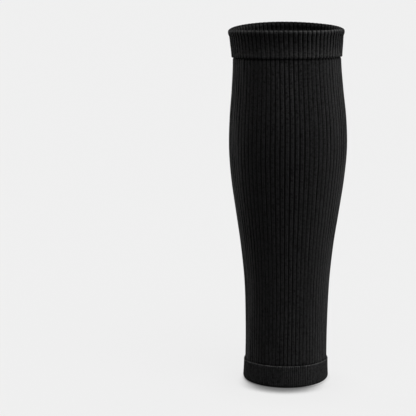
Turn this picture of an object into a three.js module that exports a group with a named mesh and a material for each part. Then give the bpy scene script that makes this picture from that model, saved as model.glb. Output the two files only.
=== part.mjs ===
// Calf sleeve: a rib-knit tube for the lower leg, with a doubled cuff at the knee end and a doubled
// band at the ankle end. Millimetres, +Z up. It stands open on its ankle band, with -Y to the viewer.

import * as THREE from "three";
import { LoftGeometry } from "three/addons/geometries/LoftGeometry.js";
import { mergeVertices } from "three/addons/utils/BufferGeometryUtils.js";

// Driving dimensions
const LENGTH = 330; // floor to the crest of the cuff
const RIB_COUNT = 76; // ribs round the sleeve, the same number from end to end
const RIB_DEPTH = 0.6; // ridge to valley on the outside
const KNIT = 1.5; // one layer of knit, from a ridge to the inner face
const PROUD = 1.1; // how far the doubled edges stand out from the tube's ridges
const CUFF_HEIGHT = 24.6;
const BAND_HEIGHT = 20.8;
const LAP = 4; // how far the outer leaf of a doubled edge covers the tube
const GAP = 0.3; // clearance between neighbouring pieces
const FOLD = 2.9; // height of the rounded fold along the cuff's crest
const EDGE = 0.9; // rounding along the other edges
const SHORTEST_STEP = 5; // least height between two sections of the tube

// Shares of the outside relief that other faces carry
const INSIDE_RELIEF = 0.5;
const FOLD_RELIEF = 0.7;

// The leg that the sleeve is shaped to, a row for each section from the floor up: the radius over the
// tube's ridges, the sideways drift of the centre, and the dip, by which the two sides hang lower than
// the front and back.
const LEG_FORM = [
  { height: 0, radius: 38.8, drift: 0, dip: 0 },
  { height: 20, radius: 38.3, drift: 0, dip: 1.4 },
  { height: 48, radius: 38.2, drift: 0, dip: 0 },
  { height: 92, radius: 39.8, drift: 0, dip: 0 },
  { height: 128, radius: 43.3, drift: 0, dip: 0 },
  { height: 160, radius: 48, drift: 0, dip: 0 },
  { height: 190, radius: 52.3, drift: 0, dip: 0 },
  { height: 218, radius: 54.4, drift: 0, dip: 0 },
  { height: 246, radius: 53.7, drift: -0.3, dip: 0.3 },
  { height: 274, radius: 51.2, drift: -0.9, dip: 1.2 },
  { height: 302, radius: 49.5, drift: -1.6, dip: 2.2 },
  { height: 316, radius: 50.2, drift: -2, dip: 2.4 },
  { height: LENGTH, radius: 51.9, drift: -2.3, dip: 2.5 },
];

// One rib across: where its columns stand within the pitch, and how far each sinks from ridge to valley.
const BOLD_RIB = [
  { phase: 0, sink: 0 },
  { phase: 0.5, sink: 1 },
];
const FLAT_RIB = [{ phase: 0, sink: 0 }];

const formSizes = LEG_FORM.map((row) => [row.radius, row.drift, row.dip]);
const legForm = new THREE.CubicInterpolant(
  LEG_FORM.map((row) => row.height),
  formSizes.flat(),
  formSizes[0].length,
);

// A closed ring of points round the leg. out is measured from the tube's ridges, and relief is the share
// of the rib depth that shows there: on an inner face it makes the backs of the valleys stand inwards.
function ring({ height, out, relief }, ribColumns) {
  const [radius, drift, dip] = legForm.evaluate(height);
  const points = [];
  for (let rib = 0; rib < RIB_COUNT; rib++) {
    for (const { phase, sink } of ribColumns) {
      const angle = ((rib + phase) / RIB_COUNT) * 2 * Math.PI;
      const reach = radius + out - relief * RIB_DEPTH * sink;
      points.push(
        new THREE.Vector3(
          drift + reach * Math.sin(angle),
          -reach * Math.cos(angle),
          height - dip * Math.sin(angle) ** 2,
        ),
      );
    }
  }
  return points;
}

// A knitted wall: its section's rows run up the outside and down the inside, and the last meets the first.
function knittedWall(name, section, ribColumns, material) {
  const rings = [...section, section[0]].map((row) => ring(row, ribColumns));
  const skin = new THREE.BufferGeometry();
  skin.copy(new LoftGeometry(rings));
  skin.deleteAttribute("normal");
  skin.deleteAttribute("uv");
  const wall = mergeVertices(skin);
  wall.computeVertexNormals();
  const mesh = new THREE.Mesh(wall, material);
  mesh.name = name;
  return mesh;
}

const cuffFoot = LENGTH - CUFF_HEIGHT;
const foldMiddle = (PROUD - KNIT) / 2;
const leafMiddle = (PROUD + GAP) / 2;

// The tube: one layer of knit, with a section at each row of the leg form.
function tubeSection() {
  const bottom = BAND_HEIGHT - LAP + GAP;
  const top = cuffFoot + LAP - GAP;
  const between = LEG_FORM.map((row) => row.height).filter(
    (height) => height > bottom + SHORTEST_STEP && height < top - SHORTEST_STEP,
  );
  const heights = [bottom, ...between, top];
  return [
    ...heights.map((height) => ({ height, out: 0, relief: 1 })),
    ...heights.toReversed().map((height) => ({ height, out: -KNIT, relief: INSIDE_RELIEF })),
  ];
}

// The cuff: two layers folded at the crest, with the outer leaf reaching down over the top of the tube.
function cuffSection() {
  const face = { out: PROUD, relief: 1 };
  const back = { out: -KNIT, relief: INSIDE_RELIEF };
  return [
    { height: cuffFoot + EDGE / 3, out: GAP, relief: 1 },
    { height: cuffFoot, out: leafMiddle, relief: FOLD_RELIEF },
    { height: cuffFoot + EDGE, ...face },
    { height: cuffFoot + CUFF_HEIGHT / 2, ...face },
    { height: LENGTH - FOLD, ...face },
    { height: LENGTH - FOLD / 3, out: PROUD - FOLD / 6, relief: 1 },
    { height: LENGTH, out: foldMiddle, relief: FOLD_RELIEF },
    { height: LENGTH - FOLD / 3, out: -KNIT + FOLD / 6, relief: INSIDE_RELIEF },
    { height: LENGTH - FOLD, ...back },
    { height: cuffFoot + LAP, ...back },
    { height: cuffFoot + LAP, out: GAP, relief: 1 },
  ];
}

// The ankle band: two layers with a flat standing edge, and an outer leaf that reaches up over the foot
// of the tube. Its ribs are too fine and shallow to stand out, so its faces are flat.
function bandSection() {
  const face = { out: PROUD, relief: 0 };
  const back = { out: -KNIT, relief: 0 };
  return [
    { height: 0, out: -KNIT + EDGE / 2, relief: 0 },
    { height: 0, out: PROUD - EDGE / 2, relief: 0 },
    { height: EDGE, ...face },
    { height: BAND_HEIGHT / 2, ...face },
    { height: BAND_HEIGHT - EDGE, ...face },
    { height: BAND_HEIGHT, out: leafMiddle, relief: 0 },
    { height: BAND_HEIGHT - EDGE / 3, out: GAP, relief: 0 },
    { height: BAND_HEIGHT - LAP, out: GAP, relief: 0 },
    { height: BAND_HEIGHT - LAP, ...back },
    { height: EDGE, ...back },
  ];
}

// Matt black knit; the doubled edges are a shade lighter where their folds catch the light.
const ribKnit = new THREE.MeshStandardMaterial({ color: 0x1a1b1b, roughness: 0.92, metalness: 0 });
const cuffKnit = new THREE.MeshStandardMaterial({ color: 0x1e1f1f, roughness: 0.92, metalness: 0 });
const bandKnit = new THREE.MeshStandardMaterial({ color: 0x1d1e1e, roughness: 0.9, metalness: 0 });

const sleeve = new THREE.Group();
sleeve.add(
  knittedWall("calf_tube", tubeSection(), BOLD_RIB, ribKnit),
  knittedWall("top_cuff", cuffSection(), BOLD_RIB, cuffKnit),
  knittedWall("ankle_band", bandSection(), FLAT_RIB, bandKnit),
);

// The origin is on the floor, at the middle of the sleeve's own box.
const box = new THREE.Box3().setFromObject(sleeve);
const middle = box.getCenter(new THREE.Vector3());
sleeve.position.set(-middle.x, -middle.y, -box.min.z);

export default sleeve;
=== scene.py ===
"""Dresses the calf sleeve: a knitted tube, its turned cuff and its ankle band, on a pale studio floor."""

import logging
import math
from dataclasses import dataclass, fields
from enum import Enum
from itertools import accumulate
from typing import Any

import bmesh
import bpy
from bpy.types import ID, Material, Node, NodeSocket, NodeTree, Object
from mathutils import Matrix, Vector, noise


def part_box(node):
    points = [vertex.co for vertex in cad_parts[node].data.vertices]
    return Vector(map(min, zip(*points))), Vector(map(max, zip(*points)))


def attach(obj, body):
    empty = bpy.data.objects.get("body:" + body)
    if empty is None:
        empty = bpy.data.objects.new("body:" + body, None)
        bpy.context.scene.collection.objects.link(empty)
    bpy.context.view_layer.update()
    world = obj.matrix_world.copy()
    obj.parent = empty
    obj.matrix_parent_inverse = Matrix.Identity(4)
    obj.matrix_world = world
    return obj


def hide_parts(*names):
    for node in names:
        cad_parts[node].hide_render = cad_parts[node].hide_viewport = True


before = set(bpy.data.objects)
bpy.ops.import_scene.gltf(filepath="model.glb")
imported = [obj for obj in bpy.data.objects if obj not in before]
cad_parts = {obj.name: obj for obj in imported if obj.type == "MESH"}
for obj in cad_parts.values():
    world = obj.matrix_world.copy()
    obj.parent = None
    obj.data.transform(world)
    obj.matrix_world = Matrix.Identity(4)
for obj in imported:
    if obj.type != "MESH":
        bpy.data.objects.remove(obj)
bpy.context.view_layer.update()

MM = 0.001
BODY = "root"
KNIT_UV = "knit"
# Painted light in the knit's colour: above 0 a painted highlight, below 0 a painted shade.
PAINTED_LIGHT = "lift"
MATH = "ShaderNodeMath"
COLUMN = "column"
ROW = "row"
VALLEY = 0.5  # a valley's place across a rib, in ribs from the ridge
USUAL_OPENING = 0.5  # the share of the painted highlight on the ridges that also reaches the valleys
log = logging.getLogger("calf_sleeve")

Inputs = dict[str | int, Any]


class Hold(Enum):
    """How a knitted piece is kept in shape."""

    STRETCHED = "stretched"
    FOLDED = "folded"


class Slot(Enum):
    """The material slots that the pieces name."""

    RIB_KNIT = "rib_knit"
    BAND_KNIT = "band_knit"


def linear(hex_colour: str) -> tuple[float, float, float, float]:
    """Turns an sRGB hex colour to linear light.

    Args:
        hex_colour: A colour such as "#1a1b1b".

    Returns:
        Red, green, blue and an alpha of one.
    """
    digits = hex_colour.lstrip("#")
    channels = [int(digits[i : i + 2], 16) / 255 for i in (0, 2, 4)]
    red, green, blue = (c / 12.92 if c <= 0.04045 else ((c + 0.055) / 1.055) ** 2.4 for c in channels)
    return red, green, blue, 1.0


def smooth_step(low: float, high: float, value: float) -> float:
    """Rises smoothly from 0 at low to 1 at high.

    Args:
        low: Where the rise starts.
        high: Where the rise ends.
        value: The place to read.

    Returns:
        A share from 0 to 1.
    """
    t = min(1.0, max(0.0, (value - low) / (high - low)))
    return t * t * (3 - 2 * t)


def evenly(low: float, high: float, steps: int) -> list[float]:
    """Divides a stretch evenly.

    Args:
        low: The first value.
        high: The last value.
        steps: How many steps lie between them.

    Returns:
        The values, both ends among them.
    """
    return [low + (high - low) * i / steps for i in range(steps + 1)]


def add_node(tree: NodeTree, kind: str, inputs: Inputs | None = None, **settings: Any) -> Node:
    """Adds a node with its settings and links.

    Args:
        tree: The node tree.
        kind: The node's type name.
        inputs: Input sockets by name or place, each a value, the socket that feeds it, or a node whose
            first output feeds it.
        settings: The node's own properties.

    Returns:
        The new node.
    """
    node = tree.nodes.new(kind)
    for name, value in settings.items():
        setattr(node, name, value)
    for key, value in (inputs or {}).items():
        if isinstance(value, Node):
            value = value.outputs[0]
        if isinstance(value, NodeSocket):
            tree.links.new(value, node.inputs[key])
        else:
            node.inputs[key].default_value = value
    return node


def add_object(name: str, data: ID) -> Object:
    """Puts a mesh, light or camera in the scene, at the origin.

    Args:
        name: The object's name.
        data: The mesh, light or camera.

    Returns:
        The new object.
    """
    made = bpy.data.objects.new(name, data)
    bpy.context.scene.collection.objects.link(made)
    return made


@dataclass(frozen=True)
class FormRow:
    """A section of the leg form, in millimetres, with its radius over the tube's ridges.

    Attributes:
        drift: How far to the right of the form's axis its centre lies.
        dip: How much lower its left side hangs than its front and back.
        lean: How much higher than the left side its right side stands.
        pinch: The share of its depth, from front to back, that it loses towards the two sides.
        droop: How much lower still the knit hangs right at the two sides.
        strain: How much further apart than evenly the ribs stand in front and behind, as a share.
        painted_light_at_height: The painted light on the yarn at that height.
        relief: The share of the ribs' depth that shows.
    """

    height: float
    radius: float
    drift: float = 0.0
    dip: float = 0.0
    lean: float = 0.0
    pinch: float = 0.0
    droop: float = 0.0
    strain: float = 0.0
    painted_light_at_height: float = 0.0
    relief: float = 1.0


@dataclass(frozen=True)
class LegForm:
    """The leg that the sleeve is shaped to, in sections from the floor up.

    Its axis stands at the middle of the ankle band, and its first rib at the turn, in degrees from the front
    towards the right. The powers say how closely the pinch and the droop keep to the two sides.
    """

    axis: float
    turn: float = 1.6
    pinch_power: int = 2
    droop_power: int = 8
    # Besides its shape, each section gives the painted light on its yarn there.
    rows: tuple[FormRow, ...] = (
        FormRow(height=0, radius=38.9, drift=-0.45, lean=0.6, strain=0.16, painted_light_at_height=0.05, relief=0.7),
        FormRow(
            height=20, radius=38.2, drift=-0.33, dip=1.4, lean=1.4, droop=1.6,
            strain=0.16, painted_light_at_height=0.05, relief=0.7,
        ),
        FormRow(height=48, radius=38.1, drift=-0.15, strain=0.15, painted_light_at_height=0.05, relief=0.7),
        FormRow(height=92, radius=39.5, strain=0.1, painted_light_at_height=0.05, relief=0.75),
        FormRow(height=128, radius=43.05, drift=-0.17, strain=0.075, painted_light_at_height=0.045, relief=0.85),
        FormRow(height=160, radius=47.75, drift=-0.15, strain=0.035, painted_light_at_height=0.04, relief=0.95),
        FormRow(height=190, radius=52.05, drift=-0.18, painted_light_at_height=0.02),
        FormRow(height=218, radius=54.25, drift=-0.07),
        FormRow(height=246, radius=53.5, drift=-0.33, dip=0.3, lean=0.1, painted_light_at_height=0.1),
        FormRow(height=274, radius=51.0, drift=-1.0, dip=1.2, lean=0.6, droop=0.2, painted_light_at_height=0.2),
        FormRow(height=302, radius=49.35, drift=-1.72, dip=2.2, lean=1.1, pinch=0.03, droop=0.9, painted_light_at_height=0.26),
        FormRow(height=316, radius=50.2, drift=-2.1, dip=2.4, lean=1.2, pinch=0.1, droop=1.1, painted_light_at_height=0.13),
        FormRow(height=330, radius=52.1, drift=-2.6, dip=2.5, lean=1.2, pinch=0.2, droop=1.2, painted_light_at_height=0.1),
    )

    def slope(self, index: int, column: str) -> float:
        """Reads how fast a column changes at a row.

        Args:
            index: The row's place.
            column: The column's name.

        Returns:
            The change for each millimetre of height.
        """
        low = self.rows[max(index - 1, 0)]
        high = self.rows[min(index + 1, len(self.rows) - 1)]
        return (getattr(high, column) - getattr(low, column)) / (high.height - low.height)

    def at(self, height: float) -> FormRow:
        """Finds the section at any height on a smooth curve through the rows.

        Args:
            height: Millimetres above the floor.

        Returns:
            The section there.
        """
        above = [i for i, row in enumerate(self.rows) if row.height > height]
        upper = max(1, above[0] if above else len(self.rows) - 1)
        low, high = self.rows[upper - 1], self.rows[upper]
        span = high.height - low.height
        t = (height - low.height) / span
        sizes = {}
        for column in (field.name for field in fields(FormRow)):
            start, end = getattr(low, column), getattr(high, column)
            leave = self.slope(upper - 1, column) * span
            arrive = self.slope(upper, column) * span
            square = 3 * (end - start) - 2 * leave - arrive
            cube = 2 * (start - end) + leave + arrive
            sizes[column] = start + leave * t + square * t**2 + cube * t**3
        return FormRow(**sizes)

    def place(self, row: FormRow, angle: float, out: float, height: float) -> Vector:
        """Places a point round the leg.

        Args:
            row: The section that it lies on.
            angle: The way round from the front towards the right, in radians.
            out: Millimetres out from the tube's ridges.
            height: Millimetres above the floor in front and behind, where nothing hangs.

        Returns:
            The point, in metres.
        """
        right, front = math.sin(angle), math.cos(angle)
        beside = right**2
        reach = row.radius + out
        hang = (row.dip - row.lean * (1 + right) / 2) * beside + row.droop * beside**self.droop_power
        depth = reach * front * (1 - row.pinch * beside**self.pinch_power)
        return Vector((self.axis + row.drift + reach * right, -depth, height - hang)) * MM


@dataclass(frozen=True)
class Rib:
    """The ribs round a piece: how many, how deep in millimetres, and the shape of one.

    A place across a rib runs from one valley at -0.5 to the next at 0.5. The halves are half the widths, in
    ribs, of the ridge's top, of the valley's floor and of the groove that parts the ridge's two columns of
    stitches. The groove's depth is a share of the rib's.
    """

    count: int
    depth: float
    columns: int
    flat_half: float
    floor_half: float
    groove: float = 0.0
    groove_half: float = 0.09
    crowding: float = 0.5

    def across(self, step: int) -> float:
        """Places a column across the rib, closer together towards the valleys."""
        t = step / self.columns - VALLEY
        return t + self.crowding * math.sin(math.tau * t) / math.tau

    def sink(self, across: float) -> float:
        """Reads how far the surface lies below the ridge.

        Args:
            across: A place across the rib.

        Returns:
            A share of the rib's depth, 1 at the bottom of the valley.
        """
        slope_width = VALLEY - self.floor_half - self.flat_half
        fall = min(1.0, max(0.0, (abs(across) - self.flat_half) / slope_width))
        return 1 - math.sqrt(1 - fall * fall)

    def part(self, across: float) -> float:
        """Reads how far the groove along the ridge goes down, as a share of the rib's depth."""
        return self.groove * (1 - smooth_step(0, self.groove_half, abs(across)))


@dataclass(frozen=True)
class Station:
    """A line round a knitted wall, as a point of the wall's section, in millimetres.

    out is measured from the tube's ridges. relief and scallop are shares of the rib depth: how much nearer to
    the leg the valleys lie than the ridges, and how much lower. The painted light is a painted highlight on
    the ridges' yarn, and below 0 a painted shade on it. opening is the share of that painted highlight that
    reaches the valleys. closing is how far the ribs close up at the two sides.
    """

    height: float
    out: float
    relief: float = 1.0
    scallop: float = 0.0
    lift: float = 0.0
    opening: float = USUAL_OPENING
    closing: float = 0.0


def wall(heights: list[float], out: float, relief: float = 1.0) -> list[Station]:
    """Sets stations along a plain wall.

    Args:
        heights: Where they stand.
        out: How far out the wall lies.
        relief: The rib relief on it.

    Returns:
        The stations.
    """
    return [Station(height=height, out=out, relief=relief) for height in heights]


@dataclass(frozen=True)
class TurnRow:
    """How the knit lies at one place along a turn, with its painted light and shade, in the same shares as at
    a station.
    """

    relief: float = 1.0
    lift: float = 0.0
    opening: float = USUAL_OPENING


@dataclass(frozen=True)
class Turn:
    """A rounded turn of a wall's section: part of an ellipse in the plane of out and height.

    wide and tall are half the ellipse's width and height. The turn runs from start to end, in degrees from
    outwards towards upwards.
    """

    out: float
    height: float
    wide: float
    tall: float
    start: float
    end: float
    steps: int

    def stations(self, rows: tuple[TurnRow, ...], scallop: float = 0.0) -> list[Station]:
        """Sets stations along the turn.

        Args:
            rows: How the knit lies, at even steps from the turn's start to its end.
            scallop: The scallop in the turn's middle.

        Returns:
            The stations from start to end.
        """
        made = []
        for share in evenly(0, 1, self.steps):
            angle = math.radians(self.start + (self.end - self.start) * share)
            place = share * (len(rows) - 1)
            index = min(int(place), len(rows) - 2)
            low, high, way = rows[index], rows[index + 1], place - index
            made.append(
                Station(
                    height=self.height + self.tall * math.sin(angle),
                    out=self.out + self.wide * math.cos(angle),
                    relief=low.relief + (high.relief - low.relief) * way,
                    scallop=scallop * math.sin(math.pi * share),
                    lift=low.lift + (high.lift - low.lift) * way,
                    opening=low.opening + (high.opening - low.opening) * way,
                )
            )
        return made


@dataclass(frozen=True)
class Speckle:
    """An uneven pattern in the knit: its size, its share and its fineness of detail."""

    size: float
    share: float
    detail: float

    def inputs(self, place: NodeSocket) -> Inputs:
        """Gives the inputs of a noise node at a place in metres."""
        return {"Vector": place, "Scale": 1 / (self.size * MM), "Detail": self.detail}


@dataclass(frozen=True)
class KnitFinish:
    """Nylon and elastane rib knit, knitted round and dyed black.

    The loops scatter most of the light, so the surface is matt, with a soft sheen at glancing angles. The
    ribs' faces show columns of V-shaped stitches. The valleys between them are painted nearly black, partly
    the purl loops' own darker tone and partly painted shade, and a painted highlight colour lightens the yarn
    where the painted light is above 0. Widths across a rib are in ribs, slants and streaks in courses, and
    the rest in millimetres.
    """

    name: str
    ridge_colour: str
    valley_colour_and_shade: str
    painted_highlight_colour: str
    wales: int
    ridge_half: float
    floor_half: float
    sheen_colour: str = "#ffffff"
    roughness: float = 0.85
    specular: float = 0.05
    sheen: float = 0.085
    sheen_roughness: float = 0.45
    stitch_slant: float = 0.55
    stitch_depth: float = 0.4
    stitch_light: float = 0.6
    foot_light: float = 0.45
    column_fall: float = 0.6
    bump: float = 0.8
    # Real fibres are a few hundredths of a millimetre thick, and loops well under a millimetre wide. Fibres
    # and grain are drawn coarser, so that they show in the render.
    fibres: Speckle = Speckle(size=1.2, share=0.6, detail=3.0)
    grain: Speckle = Speckle(size=2.0, share=3.0, detail=1.0)
    mottle: Speckle = Speckle(size=16.0, share=0.5, detail=2.0)
    streaks: Speckle = Speckle(size=20.0, share=1.1, detail=2.0)
    streaks_per_rib: float = 2.0

    def material(self) -> Material:
        """Draws the finish with nodes.

        Returns:
            The material.
        """
        made = bpy.data.materials.new(self.name)
        made.use_nodes = True
        tree = made.node_tree
        tree.nodes.clear()
        knit = add_node(tree, "ShaderNodeUVMap", uv_map=KNIT_UV)
        split = add_node(tree, "ShaderNodeSeparateXYZ", {0: knit})
        around, along = split.outputs["X"], split.outputs["Y"]
        place = add_node(tree, "ShaderNodeTexCoord").outputs["Object"]
        off_ridge = add_node(tree, MATH, {0: around, 1: VALLEY}, operation="PINGPONG")
        stitch = self.stitches(tree, off_ridge, along)
        tone = self.tones(tree, around, along, place)
        fibres = add_node(tree, "ShaderNodeTexNoise", self.fibres.inputs(place))
        height = add_node(tree, MATH, {0: fibres, 1: self.fibres.share, 2: stitch}, operation="MULTIPLY_ADD")
        bump = add_node(
            tree,
            "ShaderNodeBump",
            {"Strength": self.bump, "Distance": self.stitch_depth * MM, "Height": height},
        )
        shader = add_node(
            tree,
            "ShaderNodeBsdfPrincipled",
            {
                "Base Color": self.colours(tree, off_ridge, stitch, tone),
                "Roughness": self.roughness,
                "Specular IOR Level": self.specular,
                "Sheen Weight": self.sheen,
                "Sheen Roughness": self.sheen_roughness,
                "Sheen Tint": linear(self.sheen_colour),
                "Normal": bump,
            },
        )
        add_node(tree, "ShaderNodeOutputMaterial", {"Surface": shader})
        return made

    def stitches(self, tree: NodeTree, off_ridge: Node, along: NodeSocket) -> Node:
        """Draws the columns of V-shaped stitches on the ribs.

        Args:
            tree: The material's node tree.
            off_ridge: How far across the rib a point lies from the ridge.
            along: How many courses up the piece a point lies.

        Returns:
            A node that gives the stitches' height, from 0 to 1.
        """
        wale_half = self.ridge_half / self.wales
        wale_middle = self.ridge_half - wale_half
        from_middle = add_node(tree, MATH, {0: off_ridge, 1: wale_middle}, operation="SUBTRACT")
        beside = add_node(tree, MATH, {0: from_middle}, operation="ABSOLUTE")
        off_wale = add_node(tree, MATH, {0: beside, 1: wale_half}, operation="DIVIDE")
        slant = add_node(
            tree, MATH, {0: off_wale, 1: -self.stitch_slant, 2: along}, operation="MULTIPLY_ADD"
        )
        leg = add_node(tree, MATH, {0: slant}, operation="FRACT")
        half_turn = add_node(tree, MATH, {0: leg, 1: math.pi}, operation="MULTIPLY")
        loop = add_node(tree, MATH, {0: half_turn}, operation="SINE")
        edge = add_node(tree, MATH, {0: off_wale, 1: off_wale}, operation="MULTIPLY")
        crown = add_node(
            tree, MATH, {0: edge, 1: -self.column_fall, 2: 1.0}, operation="MULTIPLY_ADD", use_clamp=True
        )
        return add_node(tree, MATH, {0: loop, 1: crown}, operation="MULTIPLY")

    def tones(self, tree: NodeTree, around: NodeSocket, along: NodeSocket, place: NodeSocket) -> Node:
        """Draws the uneven depth of the black: streaks along the columns, a fine grain and a soft mottle.

        Args:
            tree: The material's node tree.
            around: How many ribs round the piece a point lies.
            along: How many courses up the piece a point lies.
            place: The point's own place.

        Returns:
            A node that gives a share near 1.
        """
        column = add_node(tree, MATH, {0: around, 1: self.streaks_per_rib}, operation="MULTIPLY")
        stretch = add_node(tree, MATH, {0: along, 1: 1 / self.streaks.size}, operation="MULTIPLY")
        streak_place = add_node(tree, "ShaderNodeCombineXYZ", {"X": column, "Y": stretch})
        streaks = add_node(
            tree, "ShaderNodeTexNoise", {"Vector": streak_place, "Scale": 1.0, "Detail": self.streaks.detail}
        )
        tone = add_node(
            tree, MATH, {0: streaks, 1: self.streaks.share, 2: self.even_tone()}, operation="MULTIPLY_ADD"
        )
        for speckle in (self.grain, self.mottle):
            spots = add_node(tree, "ShaderNodeTexNoise", speckle.inputs(place))
            tone = add_node(tree, MATH, {0: spots, 1: speckle.share, 2: tone}, operation="MULTIPLY_ADD")
        return tone

    def even_tone(self) -> float:
        """Gives what brings the tone to 1 where every pattern stands half way up."""
        return 1 - (self.streaks.share + self.grain.share + self.mottle.share) / 2

    def colours(self, tree: NodeTree, off_ridge: Node, stitch: Node, tone: Node) -> Node:
        """Draws the colours of the valleys and of the ribs' faces, with their painted highlight and painted
        shade.

        Args:
            tree: The material's node tree.
            off_ridge: How far across the rib a point lies from the ridge.
            stitch: The stitches' height.
            tone: The uneven depth of the black.

        Returns:
            A node that gives the colour.
        """
        lift = add_node(tree, "ShaderNodeAttribute", attribute_name=PAINTED_LIGHT).outputs["Fac"]
        face = add_node(
            tree,
            "ShaderNodeMapRange",
            {"Value": off_ridge, "From Min": VALLEY - self.floor_half, "From Max": self.ridge_half},
            interpolation_type="SMOOTHSTEP",
        )
        # The loops are painted lighter at their crowns and darker in the gaps between loops and columns:
        # painted shade of the loops.
        lit = add_node(
            tree, MATH, {0: stitch, 1: self.stitch_light, 2: self.foot_light}, operation="MULTIPLY_ADD"
        )
        yarn = add_node(tree, MATH, {0: lit, 1: tone}, operation="MULTIPLY")
        # Painted shade: where the painted light is -1, the ridges take the valleys' dark colour.
        outside_painted_shade = add_node(tree, MATH, {0: lift, 1: 1.0}, operation="ADD", use_clamp=True)
        open_face = add_node(tree, MATH, {0: face, 1: outside_painted_shade}, operation="MULTIPLY")
        shade = add_node(tree, MATH, {0: yarn, 1: open_face}, operation="MULTIPLY")
        flat = add_node(
            tree,
            "ShaderNodeMixRGB",
            {"Fac": shade, "Color1": linear(self.valley_colour_and_shade), "Color2": linear(self.ridge_colour)},
        )
        # Painted highlight: above 0, the painted light mixes the colour towards the highlight colour.
        drawn = add_node(tree, MATH, {0: lift, 1: yarn}, operation="MULTIPLY", use_clamp=True)
        return add_node(
            tree, "ShaderNodeMixRGB", {"Fac": drawn, "Color1": flat, "Color2": linear(self.painted_highlight_colour)}
        )


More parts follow.
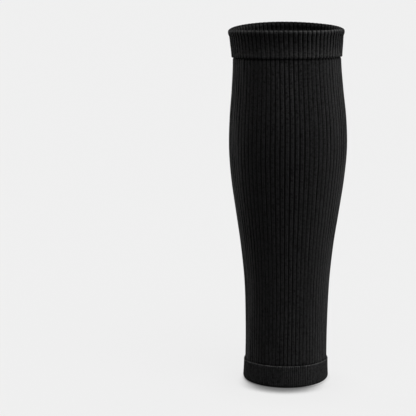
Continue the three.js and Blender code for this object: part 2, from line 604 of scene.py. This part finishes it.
@dataclass
class KnittedPiece:
    """A knitted wall that runs round the leg as one closed skin, with its sizes in millimetres.

    knit is one layer of knit, proud is how far a doubled edge stands out from the tube's ridges, lap is how
    far its outer leaf covers the tube, and gap parts neighbouring pieces. The ribs close up from the front
    and back towards the two sides: left_closed_from and right_closed_from are the sines of the angles at
    which they are quite closed. There the valleys are painted lighter and the ridges darker, painted light
    and painted shade that even out the ribs' shading.
    """

    form: LegForm
    rib: Rib
    finish: KnitFinish
    name: str
    node: str
    slot: Slot
    hold: Hold
    rests_on: tuple[str, ...] = ()
    knit: float = 1.5
    proud: float = 1.1
    lap: float = 4.0
    gap: float = 0.3
    course: float = 1.6  # about twice the real rise, so that the stitches show in the render
    left_closed_from: float = 0.75
    right_closed_from: float = 0.45
    # Where the ribs close up at the sides, painted light in the valleys and painted shade on the ridges.
    closed_painted_light: float = 0.25
    closed_painted_shade: float = 0.37
    closed_change: float = 0.6
    wander: float = 0.04  # in ribs
    wander_size: float = 30.0
    depth_change: float = 0.35
    depth_change_size: float = 55.0

    def section(self) -> list[Station]:
        """Lists the stations of the wall's section, once round it."""
        raise NotImplementedError

    def flat_size(self) -> tuple[float, float]:
        """Gives the width and length that the piece has cut open and laid flat, in metres."""
        raise NotImplementedError

    def flat_area(self) -> float:
        """Gives the piece's flat area, in square metres."""
        width, length = self.flat_size()
        return width * length

    def uneven(self, column: int, height: float) -> float:
        """Reads how much deeper than the rest a column's valley is.

        Args:
            column: The column of points.
            height: Millimetres above the floor.

        Returns:
            A share from -1 to 1.
        """
        rib, step = divmod(column, self.rib.columns)
        valley = math.floor(rib + self.rib.across(step)) % self.rib.count
        # A step of e from valley to valley keeps the noise off its own grid, where it is 0.
        return noise.noise(Vector((valley * math.e, height / self.depth_change_size, 0)))

    def closed(self, station: Station, column: int) -> float:
        """Reads how far the ribs are closed up, as they are towards the two sides, deep valleys the least.

        Args:
            station: The line round the wall.
            column: The column of points.

        Returns:
            A share from 0 to 1.
        """
        columns = self.rib.count * self.rib.columns
        right = math.sin(math.radians(self.form.turn) + math.tau * column / columns)
        closed_from = self.right_closed_from if right > 0 else self.left_closed_from
        beside = smooth_step(0, closed_from, abs(right))
        change = 1 - self.closed_change * self.uneven(column, station.height)
        return min(1.0, max(0.0, station.closing * beside * change))

    def lift(self, station: Station, column: int) -> float:
        """Reads the painted light on the yarn: a painted highlight above 0, a painted shade below 0.

        Args:
            station: The line round the wall.
            column: The column of points.

        Returns:
            The painted light, as a share.
        """
        sink = self.rib.sink(self.rib.across(column % self.rib.columns))
        opening = station.opening if station.lift > 0 else 1.0
        # Where the ribs close up at the sides, painted light in the valleys and painted shade on the ridges.
        evened = self.closed_painted_light * sink - self.closed_painted_shade * (1 - sink)
        return station.lift * (1 + (opening - 1) * sink) + self.closed(station, column) * evened

    def point(self, station: Station, row: FormRow, column: int) -> Vector:
        """Places one point of the knit.

        Args:
            station: The line round the wall that it lies on.
            row: The leg form's section at that height.
            column: The column of points that it lies in.

        Returns:
            The point, in metres.
        """
        rib, step = divmod(column, self.rib.columns)
        across = self.rib.across(step)
        angle = math.radians(self.form.turn) + math.tau * (rib + across) / self.rib.count
        angle += row.strain * math.sin(2 * angle) / 2
        spot = Vector((math.sin(angle) * row.radius, math.cos(angle) * row.radius, station.height))
        drawn = noise.noise(spot / self.wander_size)
        angle += math.tau * self.wander * drawn / self.rib.count
        change = 1 + self.depth_change * self.uneven(column, station.height)
        deep = self.rib.depth * (change * self.rib.sink(across) + self.rib.part(across))
        relief = station.relief * (1 - self.closed(station, column))
        out = station.out - relief * deep
        return self.form.place(row, angle, out, station.height - station.scallop * deep)

    def build(self) -> Object:
        """Draws the skin ring by ring from one circle, and closes it on itself.

        Returns:
            The piece.
        """
        stations = self.section()
        mesh = bmesh.new()
        column_of = mesh.verts.layers.int.new(COLUMN)
        row_of = mesh.verts.layers.int.new(ROW)
        painted_light_of = mesh.verts.layers.float.new(PAINTED_LIGHT)
        bmesh.ops.create_circle(mesh, segments=self.rib.count * self.rib.columns, radius=1.0)
        for column, vert in enumerate(mesh.verts):
            vert[column_of] = column
        first = edges = mesh.edges[:]
        ring = mesh.verts[:]
        for index, station in enumerate(stations):
            if index:
                made = bmesh.ops.extrude_edge_only(mesh, edges=edges)["geom"]
                ring = [part for part in made if isinstance(part, bmesh.types.BMVert)]
                fresh = set(ring)
                made_edges = [part for part in made if isinstance(part, bmesh.types.BMEdge)]
                edges = [edge for edge in made_edges if fresh.issuperset(edge.verts)]
            row = self.form.at(station.height)
            for vert in ring:
                vert[row_of] = index
                vert[painted_light_of] = self.lift(station, vert[column_of])
                vert.co = self.point(station, row, vert[column_of])
        bmesh.ops.bridge_loops(mesh, edges=first + edges)
        bmesh.ops.recalc_face_normals(mesh, faces=mesh.faces[:])
        self.map_knit(mesh, self.travel(stations))
        for layer in (ROW, COLUMN):
            mesh.verts.layers.int.remove(mesh.verts.layers.int[layer])
        data = bpy.data.meshes.new(self.name)
        mesh.to_mesh(data)
        mesh.free()
        return add_object(self.name, data)

    def travel(self, stations: list[Station]) -> list[float]:
        """Measures the way along the section.

        Args:
            stations: The section's stations.

        Returns:
            How far along each station lies, and at the end the way all round, in millimetres.
        """
        spots = [(station.height, self.form.at(station.height).radius + station.out) for station in stations]
        steps = [math.dist(here, there) for here, there in zip(spots, spots[1:] + spots[:1])]
        return list(accumulate(steps, initial=0.0))

    def map_knit(self, mesh: bmesh.types.BMesh, travel: list[float]) -> None:
        """Maps the skin in ribs round the piece and courses along it, and smooths its faces.

        Args:
            mesh: The skin, with its columns and rows.
            travel: How far along the section each row lies, and at the end the way all round.
        """
        column_of = mesh.verts.layers.int[COLUMN]
        row_of = mesh.verts.layers.int[ROW]
        knit_map = mesh.loops.layers.uv.new(KNIT_UV)
        last_row = len(travel) - 2
        last_column = self.rib.count * self.rib.columns - 1
        for face in mesh.faces:
            face.smooth = True
            columns = {vert[column_of] for vert in face.verts}
            rows = {vert[row_of] for vert in face.verts}
            for loop in face.loops:
                column, row = loop.vert[column_of], loop.vert[row_of]
                rib, step = divmod(column, self.rib.columns)
                if column == 0 and last_column in columns:
                    rib += self.rib.count
                if row == 0 and last_row in rows:
                    row = last_row + 1
                loop[knit_map].uv = (rib + self.rib.across(step), travel[row] / self.course)

    def dress(self) -> None:
        piece = self.build()
        piece.data.materials.append(self.finish.material())
        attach(piece, BODY)
        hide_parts(self.node)
        self.flat_size()
        self.flat_area()
        log.info("%s: %d faces in place of %s", self.name, len(piece.data.polygons), self.node)


@dataclass(frozen=True)
class Tuck:
    """How far an end of the tube is drawn in under a doubled edge, over what height, and how dark the shade
    painted into that crease is.
    """

    depth: float
    height: float
    painted_shade: float


@dataclass
class CalfTube(KnittedPiece):
    """The long ribbed tube, one layer of knit from the ankle band's top to the cuff's foot.

    The flattening is the share of its relief that it loses where it is tucked in. shallow_opening is how much
    more of the painted light reaches the valleys where the ribs are shallow.
    """

    bottom_edge: float = 20.8
    top_edge: float = 305.4
    rise: float = 6.0
    inside_rise: float = 18.0
    inside_relief: float = 0.6
    cuff_tuck: Tuck = Tuck(depth=1.1, height=3.0, painted_shade=1.5)
    band_tuck: Tuck = Tuck(depth=0.3, height=1.8, painted_shade=0.7)
    flattening: float = 0.5
    shallow_opening: float = 9.0
    closing: float = 0.8
    lap_steps: int = 2
    tuck_steps: int = 4

    def outside(self, height: float) -> Station:
        """Sets a station on the tube's outside.

        The doubled edges hold its ends down and flatten its ribs there, and painted shade darkens the creases
        under them.

        Args:
            height: Millimetres above the floor.

        Returns:
            The station.
        """
        covered = smooth_step(self.top_edge - self.cuff_tuck.height, self.top_edge, height)
        at_cuff = covered - smooth_step(self.top_edge, self.top_edge + self.lap / 2, height)
        at_band = 1 - smooth_step(self.bottom_edge, self.bottom_edge + self.band_tuck.height, height)
        row = self.form.at(height)
        return Station(
            height=height,
            out=-self.cuff_tuck.depth * at_cuff - self.band_tuck.depth * at_band,
            relief=row.relief * (1 - self.flattening * max(at_cuff, at_band)),
            lift=row.painted_light_at_height - self.cuff_tuck.painted_shade * at_cuff - self.band_tuck.painted_shade * at_band,
            opening=USUAL_OPENING + self.shallow_opening * (1 - row.relief),
            closing=self.closing * (1 - covered),
        )

    def section(self) -> list[Station]:
        """Lists the stations of the tube's wall, closer together where it is tucked in.

        Returns:
            The stations, up the outside and down the inside.
        """
        bottom = self.bottom_edge - self.lap + self.gap
        top = self.top_edge + self.lap - self.gap
        low_end = self.bottom_edge + self.band_tuck.height
        high_end = self.top_edge - self.cuff_tuck.height
        heights = (
            evenly(bottom, self.bottom_edge, self.lap_steps)
            + evenly(self.bottom_edge, low_end, self.tuck_steps)[1:]
            + evenly(low_end, high_end, round((high_end - low_end) / self.rise))[1:]
            + evenly(high_end, self.top_edge, self.tuck_steps)[1:]
            + evenly(self.top_edge, top, self.lap_steps)[1:]
        )
        inside_heights = evenly(top, bottom, round((top - bottom) / self.inside_rise))
        outside = [self.outside(height) for height in heights]
        return outside + wall(inside_heights, -self.knit, self.inside_relief)

    def flat_size(self) -> tuple[float, float]:
        """Gives the tube's girth at the calf and its length with both laps, in metres."""
        girth = math.tau * max(row.radius for row in self.form.rows)
        return girth * MM, (self.top_edge - self.bottom_edge + 2 * (self.lap - self.gap)) * MM

    def flat_area(self) -> float:
        """Adds up the girth along the tube's length.

        Returns:
            The flat area, in square metres.
        """
        _, length = self.flat_size()
        heights = evenly(self.bottom_edge, self.top_edge, round(length / MM / self.rise))
        girths = [math.tau * self.form.at(height).radius for height in heights]
        return sum(girths) / len(girths) * MM * length


@dataclass
class TopCuff(KnittedPiece):
    """The cuff at the knee: a doubled edge folded along its crest, whose outer leaf covers the tube's top.

    The roll along the crest turns back under itself at both ends, in degrees, and over the neck a leaf comes
    out from under it to its own face. The slot between the leaves is narrow, and nearer to the outer face in
    the valleys than under the ridges.
    """

    length: float = 330.0
    height: float = 25.2
    lap: float = 4.6
    roll_half: float = 3.2
    roll_out: float = 0.2
    roll_under: float = 50.0
    roll_scallop: float = 0.1
    # Along the roll, a painted highlight on the crest's outer shoulder, and painted shade over its top, on
    # its inside and faintly below it.
    roll: tuple[TurnRow, ...] = (
        TurnRow(relief=1.0, lift=-0.1, opening=0.5),
        TurnRow(relief=1.0, lift=-0.15, opening=0.7),
        TurnRow(relief=0.9, lift=0.35, opening=0.9),
        TurnRow(relief=0.6, lift=1.3, opening=0.9),
        TurnRow(relief=0.2, lift=-0.9, opening=0.8),
        TurnRow(relief=0.0, lift=-0.8, opening=1.0),
        TurnRow(relief=-0.1, lift=-0.2, opening=1.8),
        TurnRow(relief=-0.4, lift=-0.6, opening=0.8),
        TurnRow(relief=-0.65, lift=-0.5, opening=0.5),
    )
    neck: float = 8.0
    face_opening: float = 2.0
    foot_scallop: float = -0.6
    # Painted shade under the cuff's lower edge, darkest on its inner side.
    foot: tuple[TurnRow, ...] = tuple(TurnRow(lift=lift) for lift in (-1.0, -1.0, -0.8, -0.4, 0.0))
    # A painted highlight on the leaves just above the cuff's lower edge, fading out upwards.
    hem_painted_light: float = 0.5
    hem_fade: float = 12.0
    slot_face: float = 0.0
    slot_back: float = -0.4
    slot_relief: float = 0.28
    foot_steps: int = 8
    face_steps: int = 12
    roll_steps: int = 20
    back_steps: int = 8
    slot_steps: int = 3

    def leaf(self, heights: list[float], face: float, lift: float, roll_end: Station) -> list[Station]:
        """Sets the stations of a leaf, which draws in under the crest's roll and opens towards its foot.

        Args:
            heights: Where they stand.
            face: How far out the leaf's face lies.
            lift: Its painted light away from its ends.
            roll_end: The end of the crest's roll that it meets.

        Returns:
            The stations.
        """
        foot = self.length - self.height
        made = []
        for height in heights:
            under = smooth_step(roll_end.height - self.neck, roll_end.height, height)
            low = 1 - smooth_step(foot, foot + self.hem_fade, height)
            made.append(
                Station(
                    height=height,
                    out=face + (roll_end.out - face) * under,
                    relief=roll_end.relief,
                    lift=lift + (roll_end.lift - lift) * under + self.hem_painted_light * low,
                    opening=self.face_opening,
                )
            )
        return made

    def section(self) -> list[Station]:
        """Lists the stations of the folded cuff.

        Returns:
            The outer leaf's foot and face, the crest, the inner leaf, the slot in the fold and the lap.
        """
        half_leaf = (self.proud - self.gap) / 2
        foot = self.length - self.height
        face_foot = foot + half_leaf
        shoulder = self.length - self.roll_half
        inner_edge = foot + self.lap
        foot_turn = Turn(
            out=self.gap + half_leaf, height=face_foot, wide=half_leaf, tall=half_leaf,
            start=180, end=360, steps=self.foot_steps,
        )
        roll_turn = Turn(
            out=(self.proud - self.knit) / 2, height=shoulder,
            wide=(self.proud + self.knit) / 2 + self.roll_out, tall=self.roll_half,
            start=-self.roll_under, end=180 + self.roll_under, steps=self.roll_steps,
        )
        roll = roll_turn.stations(self.roll, self.roll_scallop)
        face_heights = evenly(face_foot, roll[0].height, self.face_steps)[1:-1]
        back_heights = evenly(roll[-1].height, inner_edge, self.back_steps)[1:]
        slot_heights = evenly(inner_edge, shoulder, self.slot_steps)
        return (
            foot_turn.stations(self.foot, self.foot_scallop)
            + self.leaf(face_heights, self.proud, self.form.at(shoulder).painted_light_at_height, roll[0])
            + roll
            # The inner leaf carries the painted shade of the roll's inner end down most of its length.
            + self.leaf(back_heights, -self.knit, roll[-1].lift, roll[-1])
            + wall(slot_heights, self.slot_back, relief=0.0)
            + wall(slot_heights[::-1], self.slot_face, self.slot_relief)
            + wall(evenly(inner_edge, face_foot, self.slot_steps)[:-1], self.gap)
        )

    def flat_size(self) -> tuple[float, float]:
        """Gives the cuff's girth and twice its height less the lap, unfolded, in metres."""
        girth = math.tau * self.form.at(self.length - self.height / 2).radius
        return girth * MM, (2 * self.height - self.lap) * MM


@dataclass
class AnkleBand(KnittedPiece):
    """The band at the ankle: a doubled edge folded along the floor, with a rolled lip along its top.

    lip is half the lip's height, and the lip turns back under itself, in degrees. With the inside relief
    below 0, the backs of the ridges stand inwards.
    """

    height: float = 20.8
    corner: float = 2.5
    corner_rise: float = 3.4
    # Painted shade along the band's bottom edge, where it meets the floor.
    corner_knit: tuple[TurnRow, ...] = (
        TurnRow(relief=0.0, lift=-1.0),
        TurnRow(relief=1 / 3, lift=-1.0),
        TurnRow(relief=2 / 3, lift=-0.6),
        TurnRow(relief=1.0, lift=0.0),
    )
    inner_corner: float = 0.1
    inside_relief: float = -0.6
    lip: float = 0.55
    lip_out: float = 0.1
    lip_under: float = 60.0
    lip_scallop: float = 1.0
    # A painted highlight over the top of the lip.
    lip_knit: tuple[TurnRow, ...] = (
        TurnRow(relief=1.0, lift=0.0),
        TurnRow(relief=2 / 3, lift=0.65),
        TurnRow(relief=1 / 3, lift=0.65),
        TurnRow(relief=0.0, lift=0.1),
    )
    slot_floor: float = 2.2
    inner_corner_steps: int = 5
    corner_steps: int = 7
    face_steps: int = 8
    lip_steps: int = 12
    slot_steps: int = 3
    back_steps: int = 5

    def section(self) -> list[Station]:
        """Lists the stations of the folded band.

        Returns:
            The standing edge, the outer leaf's face and lip, the slot in the fold, and the inner leaf.
        """
        inner_turn = Turn(
            out=self.inner_corner - self.knit, height=self.inner_corner,
            wide=self.inner_corner, tall=self.inner_corner,
            start=180, end=270, steps=self.inner_corner_steps,
        )
        outer_turn = Turn(
            out=self.proud - self.corner, height=self.corner_rise,
            wide=self.corner, tall=self.corner_rise,
            start=270, end=360, steps=self.corner_steps,
        )
        lip_half = (self.proud + self.lip_out - self.gap) / 2
        lip_turn = Turn(
            out=self.gap + lip_half, height=self.height - self.lip, wide=lip_half, tall=self.lip,
            start=-self.lip_under, end=180, steps=self.lip_steps,
        )
        lip_foot = self.height - 2 * self.lip
        inner_edge = self.height - self.lap
        leaf_middle = (self.proud - self.knit) / 2
        back_heights = evenly(inner_edge, self.inner_corner, self.back_steps)[:-1]
        return (
            inner_turn.stations((TurnRow(relief=self.inside_relief), TurnRow(relief=0.0)))
            + outer_turn.stations(self.corner_knit)
            + wall(evenly(self.corner_rise, lip_foot, self.face_steps)[1:], self.proud)
            + lip_turn.stations(self.lip_knit, self.lip_scallop)
            + wall(evenly(lip_foot, self.slot_floor, self.slot_steps), self.gap, relief=0.0)
            + wall(evenly(self.slot_floor, inner_edge, self.slot_steps), leaf_middle, relief=0.0)
            + wall(back_heights, -self.knit, self.inside_relief)
        )

    def flat_size(self) -> tuple[float, float]:
        """Gives the band's girth and twice its height less the lap, unfolded, in metres."""
        girth = math.tau * self.form.at(self.height / 2).radius
        return girth * MM, (2 * self.height - self.lap) * MM


@dataclass(frozen=True)
class Lamp:
    """A broad lamp a long way off, in degrees and watts for each square metre.

    Its azimuth runs round the sleeve from the camera's side towards the right, and its spread is how wide it
    looks from there.
    """

    name: str
    azimuth: float
    elevation: float
    spread: float
    strength: float

    def light(self) -> None:
        """Hangs the lamp and turns it towards the sleeve."""
        data = bpy.data.lights.new(self.name, "SUN")
        data.angle = math.radians(self.spread)
        data.energy = self.strength
        turn, rise = math.radians(self.azimuth), math.radians(self.elevation)
        away = Vector((math.sin(turn) * math.cos(rise), -math.cos(turn) * math.cos(rise), math.sin(rise)))
        lamp = add_object(self.name, data)
        lamp.location = away
        lamp.rotation_euler = (-away).to_track_quat("-Z", "Y").to_euler()


@dataclass(frozen=True)
class Contact:
    """The shade on the floor close to what stands on it.

    The floor looks towards one side for anything within reach, in metres. Where the open share of that side
    falls from high to low, the floor's light falls to the shade.
    """

    reach: float
    towards: tuple[float, float, float]
    low: float
    high: float
    shade: float
    rays: int

    def nodes(self, tree: NodeTree) -> Node:
        """Draws the shade.

        Args:
            tree: The floor's node tree.

        Returns:
            A node that gives the share of light left, from the shade to 1.
        """
        side, back, up = self.towards
        towards = add_node(tree, "ShaderNodeCombineXYZ", {"X": side, "Y": back, "Z": up})
        near = add_node(
            tree,
            "ShaderNodeAmbientOcclusion",
            {"Distance": self.reach, "Normal": towards},
            samples=self.rays,
        )
        return add_node(
            tree,
            "ShaderNodeMapRange",
            {"Value": near.outputs["AO"], "From Min": self.low, "From Max": self.high, "To Min": self.shade},
            interpolation_type="SMOOTHSTEP",
        )


@dataclass(frozen=True)
class PaperFinish:
    """Seamless studio paper, rolled matt and evenly lit.

    It gives the eye one pale field without gloss, which darkens only where the sleeve stands. Its glow stands
    for the studio's even light on it, so that the lamps leave no pools.
    """

    name: str = "pale_paper"
    colour: str = "#484848"
    glow: str = "#e6e6e6"
    contacts: tuple[Contact, ...] = (
        Contact(reach=0.03, towards=(0.15, 1.0, 0.0), low=0.55, high=0.8, shade=0.2, rays=48),
        Contact(reach=0.006, towards=(0.0, 0.0, 1.0), low=0.4, high=0.9, shade=0.85, rays=16),
    )

    def material(self) -> Material:
        """Draws the finish with nodes.

        Returns:
            The material.
        """
        made = bpy.data.materials.new(self.name)
        made.use_nodes = True
        tree = made.node_tree
        tree.nodes.clear()
        light: Node | float = 1.0
        for contact in self.contacts:
            light = add_node(tree, MATH, {0: contact.nodes(tree), 1: light}, operation="MULTIPLY")
        shader = add_node(
            tree,
            "ShaderNodeBsdfPrincipled",
            {
                "Base Color": linear(self.colour),
                "Roughness": 1.0,
                "Specular IOR Level": 0.0,
                "Emission Color": linear(self.glow),
                "Emission Strength": light,
            },
        )
        add_node(tree, "ShaderNodeOutputMaterial", {"Surface": shader})
        return made


@dataclass
class Studio:
    """A pale seamless floor, soft lamps and the camera, in metres and degrees."""

    camera_side: float = -0.0736
    camera_back: float = 1.5112
    camera_height: float = 0.4473
    camera_pitch: float = 10.7
    lens: float = 143.66  # millimetres
    floor_size: float = 30.0
    paper: PaperFinish = PaperFinish()
    lamps: tuple[Lamp, ...] = (
        Lamp(name="top_lamp", azimuth=180, elevation=84, spread=10, strength=1.2),
        Lamp(name="front_lamp", azimuth=10, elevation=68, spread=50, strength=1.4),
        Lamp(name="right_front_lamp", azimuth=50, elevation=30, spread=50, strength=0.4),
        Lamp(name="right_lamp", azimuth=84, elevation=28, spread=120, strength=1.65),
        Lamp(name="left_rim_lamp", azimuth=-140, elevation=2, spread=30, strength=1.9),
    )

    def floor(self) -> None:
        """Lays the floor, which gives the sleeve none of its own light."""
        grid = bmesh.new()
        bmesh.ops.create_grid(grid, x_segments=1, y_segments=1, size=self.floor_size / 2)
        data = bpy.data.meshes.new("floor")
        grid.to_mesh(data)
        grid.free()
        data.materials.append(self.paper.material())
        floor = add_object("floor", data)
        floor.visible_diffuse = False

    def darken(self) -> None:
        """Makes the room dark, so that only the lamps light the sleeve."""
        room = bpy.data.worlds.new("studio")
        room.use_nodes = True
        tree = room.node_tree
        tree.nodes.clear()
        dark = add_node(tree, "ShaderNodeBackground", {"Strength": 0.0})
        add_node(tree, "ShaderNodeOutputWorld", {"Surface": dark})
        bpy.context.scene.world = room

    def camera(self, axis: float) -> None:
        """Stands the camera at the photograph's angle.

        Args:
            axis: Where the sleeve's axis stands, in metres to the right of the origin.
        """
        data = bpy.data.cameras.new("camera")
        data.lens = self.lens
        camera = add_object("camera", data)
        camera.location = (axis + self.camera_side, -self.camera_back, self.camera_height)
        camera.rotation_euler = (math.radians(90 - self.camera_pitch), 0, 0)
        bpy.context.scene.camera = camera

    def set_up(self, axis: float) -> None:
        """Makes the whole studio and plain colour management.

        Args:
            axis: Where the sleeve's axis stands, in metres to the right of the origin.
        """
        self.floor()
        self.darken()
        self.camera(axis)
        for lamp in self.lamps:
            lamp.light()
        bpy.context.scene.view_settings.view_transform = "Standard"


TUBE_RIB = Rib(count=76, depth=1.1, columns=14, flat_half=0.22, floor_half=0.12, groove=0.1)
CUFF_RIB = Rib(count=76, depth=1.1, columns=14, flat_half=0.12, floor_half=0.1, groove=0.06)
BAND_RIB = Rib(count=152, depth=0.42, columns=6, flat_half=0.08, floor_half=0.02)

# Bold rib knit: two columns of stitches on each rib, and a wide dark valley beside them, its darkness partly
# the purl loops' own and partly painted shade.
RIB_KNIT = KnitFinish(
    name="black_nylon_rib_knit",
    ridge_colour="#2b2b2c",
    valley_colour_and_shade="#050505",
    painted_highlight_colour="#4c4c4c",
    wales=2,
    ridge_half=0.3,
    floor_half=0.13,
)
# Fine rib knit: one column of stitches on each rib and hardly a valley, so the band looks nearly plain.
BAND_KNIT = KnitFinish(
    name="black_nylon_fine_rib_knit",
    ridge_colour="#2e2e2f",
    valley_colour_and_shade="#060606",
    painted_highlight_colour="#6a6a6a",
    wales=1,
    ridge_half=0.36,
    floor_half=0.06,
)


def main() -> None:
    """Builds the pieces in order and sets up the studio."""
    logging.basicConfig(level=logging.INFO, format="%(name)s: %(message)s")
    low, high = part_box("ankle_band")
    axis = (low.x + high.x) / 2
    form = LegForm(axis=axis / MM)
    AnkleBand(
        form=form,
        rib=BAND_RIB,
        finish=BAND_KNIT,
        name="ankle_band_knit",
        node="ankle_band",
        slot=Slot.BAND_KNIT,
        hold=Hold.FOLDED,
    ).dress()
    CalfTube(
        form=form,
        rib=TUBE_RIB,
        finish=RIB_KNIT,
        name="calf_tube_knit",
        node="calf_tube",
        slot=Slot.RIB_KNIT,
        hold=Hold.STRETCHED,
        rests_on=("ankle_band_knit",),
    ).dress()
    TopCuff(
        form=form,
        rib=CUFF_RIB,
        finish=RIB_KNIT,
        name="top_cuff_knit",
        node="top_cuff",
        slot=Slot.RIB_KNIT,
        hold=Hold.FOLDED,
        rests_on=("calf_tube_knit",),
    ).dress()
    Studio().set_up(axis)


if __name__ == "__main__":
    main()
